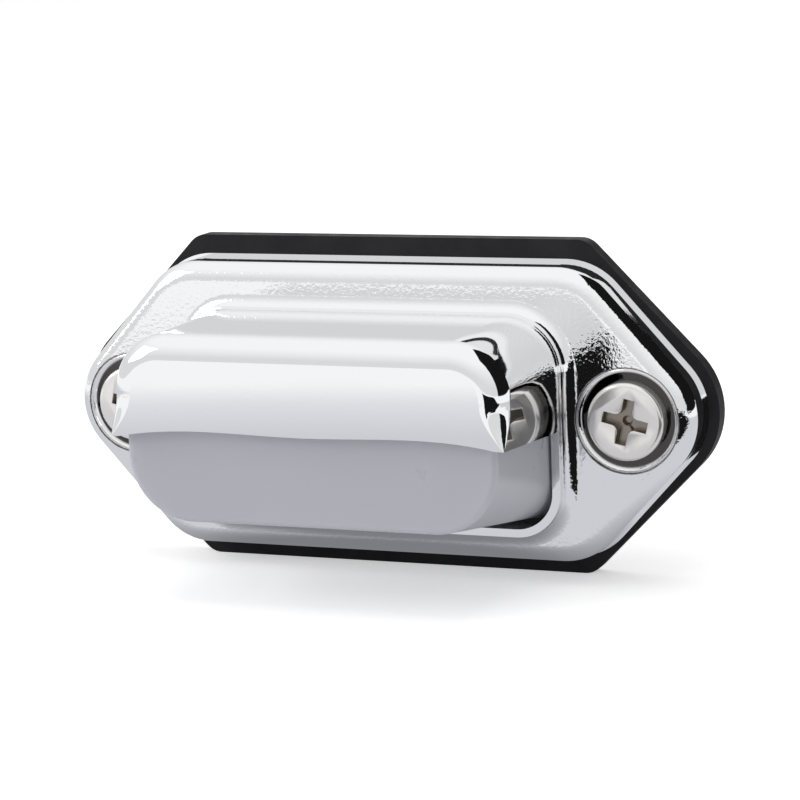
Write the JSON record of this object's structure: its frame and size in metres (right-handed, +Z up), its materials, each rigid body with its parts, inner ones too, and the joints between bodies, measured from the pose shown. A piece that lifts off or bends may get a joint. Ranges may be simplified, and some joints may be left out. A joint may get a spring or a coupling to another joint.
{
  "type": "number plate lamp",
  "caption": "Number plate lamp: chromed hexagonal flange with a hood over an opal lens, rubber gasket and screws.",
  "frame": {"origin": "middle of the mounting face, the back of the gasket, halfway between both screws", "axes": "+X along the lamp to its right seen from the front, +Y back into the panel, +Z up, hood uppermost"},
  "size_m": [0.0932, 0.0492, 0.0458],
  "materials": {
    "chrome_plate": "bright chrome plate, fine grain on the flange",
    "opal_plastic": "opal white, satin gloss, lets light through",
    "seal_rubber": "smooth black rubber",
    "gasket_rubber": "matt black rubber",
    "black_plastic": "black moulded plastic",
    "stainless_steel": "satin stainless steel",
    "zinc_steel": "zinc plated steel",
    "board_laminate": "white solder mask",
    "led_housing": "white moulded plastic",
    "led_yellow": "clear yellow silicone",
    "chip_ceramic": "dark glazed ceramic",
    "solder": "bright solder"
  },
  "bodies": {
    "root": {"chrome_cover": "chrome_plate", "lens": "opal_plastic", "lens_seal": "seal_rubber", "wire_grommet": "seal_rubber", "gasket": "gasket_rubber", "back_cover": "black_plastic", "diode": "black_plastic", "mounting_screw_left": "stainless_steel", "mounting_screw_right": "stainless_steel", "cover_screw_1": "zinc_steel", "cover_screw_2": "zinc_steel", "cover_screw_3": "zinc_steel", "cover_screw_4": "zinc_steel", "board_screw_1": "zinc_steel", "board_screw_2": "zinc_steel", "board_screw_3": "zinc_steel", "board_screw_4": "zinc_steel", "circuit_board": "board_laminate", "led_1": "led_housing", "led_2": "led_housing", "led_3": "led_housing", "led_4": "led_housing", "led_5": "led_housing", "led_6": "led_housing", "led_phosphor_1": "led_yellow", "led_phosphor_2": "led_yellow", "led_phosphor_3": "led_yellow", "led_phosphor_4": "led_yellow", "led_phosphor_5": "led_yellow", "led_phosphor_6": "led_yellow", "resistor_1": "chip_ceramic", "resistor_2": "chip_ceramic", "capacitor": "chip_ceramic", "solder_pad_1": "solder", "solder_pad_2": "solder"}
  },
  "joints": []
}
